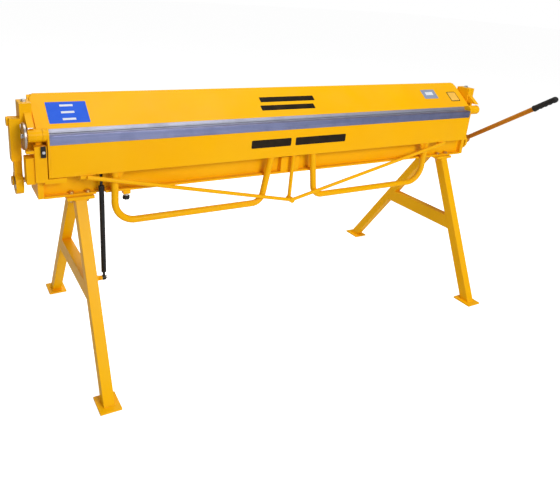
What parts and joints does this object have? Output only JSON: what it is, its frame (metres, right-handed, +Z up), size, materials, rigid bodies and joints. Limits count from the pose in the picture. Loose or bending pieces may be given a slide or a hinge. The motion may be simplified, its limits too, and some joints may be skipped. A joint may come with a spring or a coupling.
{
  "type": "sheet metal brake",
  "caption": "Hand-operated sheet metal folder on A-frame stands, with hinged bending leaf, bow handles, clamping beam and eccentric lever.",
  "frame": {"origin": "on the floor, under the middle of the whole machine's bounding box", "axes": "+X to the right along the bending line, seen from the operator's side; +Y to the back; +Z up"},
  "size_m": [2.323, 0.9604, 1.0399],
  "materials": {
    "paint": "semi-gloss powder coat",
    "steel": "ground",
    "zinc": "satin zinc",
    "bronze": "machined",
    "rubber": "matte",
    "black_plastic": "matte",
    "black_paint": "gloss black"
  },
  "bodies": {
    "frame": {"stand_left_front_leg": "paint", "stand_left_rear_leg": "paint", "stand_left_brace": "paint", "stand_left_top_plate": "paint", "stand_left_feet": "paint", "stand_right_front_leg": "paint", "stand_right_rear_leg": "paint", "stand_right_brace": "paint", "stand_right_top_plate": "paint", "stand_right_feet": "paint", "stand_bolts": "zinc", "base_front_plate": "paint", "base_rear_plate": "paint", "base_top_plate": "paint", "base_ribs": "paint", "base_centre_box": "paint", "bed_blade": "steel", "bed_blade_screws": "zinc", "side_plate_left": "paint", "side_plate_right": "paint", "bushes": "bronze", "hinge_caps": "paint", "guide_blocks": "paint", "guide_rods": "zinc", "end_post": "paint", "post_pad": "rubber", "post_screw": "zinc", "stop_bracket": "paint", "link_guard": "paint", "strut_bracket": "paint", "knob_bracket": "paint"},
    "leaf": {"leaf_sheet": "paint", "leaf_rail": "steel", "leaf_end_arms": "paint", "hinge_pins": "paint", "angle_disc": "zinc", "disc_bolt": "zinc", "bow_left": "paint", "bow_right": "paint", "bow_gussets": "paint", "truss_rod": "paint", "truss_fittings": "paint", "strut_fork": "paint", "strut_fork_pin": "zinc"},
    "strut_rod": {"strut_rod": "zinc"},
    "strut_tube": {"strut_tube": "black_paint", "strut_bolt": "zinc"},
    "clamp_beam": {"clamp_panel": "paint", "clamp_back": "paint", "clamp_blade": "steel", "clamp_ends": "paint", "clamp_columns": "paint", "clamp_link_bars": "paint", "link_channel": "paint", "link_bolts": "paint"},
    "clamp_lever": {"cross_shaft": "zinc", "eccentrics": "zinc", "clamp_lever": "paint", "lever_grip": "rubber"},
    "knob": {"adjust_knob": "black_plastic"}
  },
  "joints": [
    {"name": "leaf_hinge", "type": "hinge", "parent": "frame", "child": "leaf", "pos_m": [-0.0145, -0.11175, 0.905], "axis": [-1, 0, 0], "range_deg": [0, 135]},
    {"name": "strut_pivot", "type": "hinge", "parent": "leaf", "child": "strut_rod", "pos_m": [-0.8605, -0.10175, 0.845], "axis": [1, 0, 0], "range_deg": [0, 141.63]},
    {"name": "strut_slide", "type": "slide", "parent": "strut_rod", "child": "strut_tube", "axis": [0, -0.0531, -0.9986], "range_m": [0, 0.0965]},
    {"name": "lever_turn", "type": "hinge", "parent": "frame", "child": "clamp_lever", "pos_m": [-0.0145, -0.03175, 0.727], "axis": [-1, 0, 0], "range_deg": [0, 75]},
    {"name": "clamp_lift", "type": "slide", "parent": "frame", "child": "clamp_beam", "axis": [0, 0, 1], "range_m": [0, 0.0109]},
    {"name": "knob_turn", "type": "hinge", "parent": "frame", "child": "knob", "pos_m": [-0.7625, -0.09376, 0.65], "axis": [0, 0, 1], "continuous": true}
  ],
  "couplings": [
    {"joint": "strut_pivot", "follows": "leaf_hinge", "ratio": 1.0454},
    {"joint": "strut_slide", "follows": "leaf_hinge", "m_per_rad": 0.040537},
    {"joint": "lever_turn", "follows": "clamp_lift", "rad_per_m": 119.46}
  ]
}
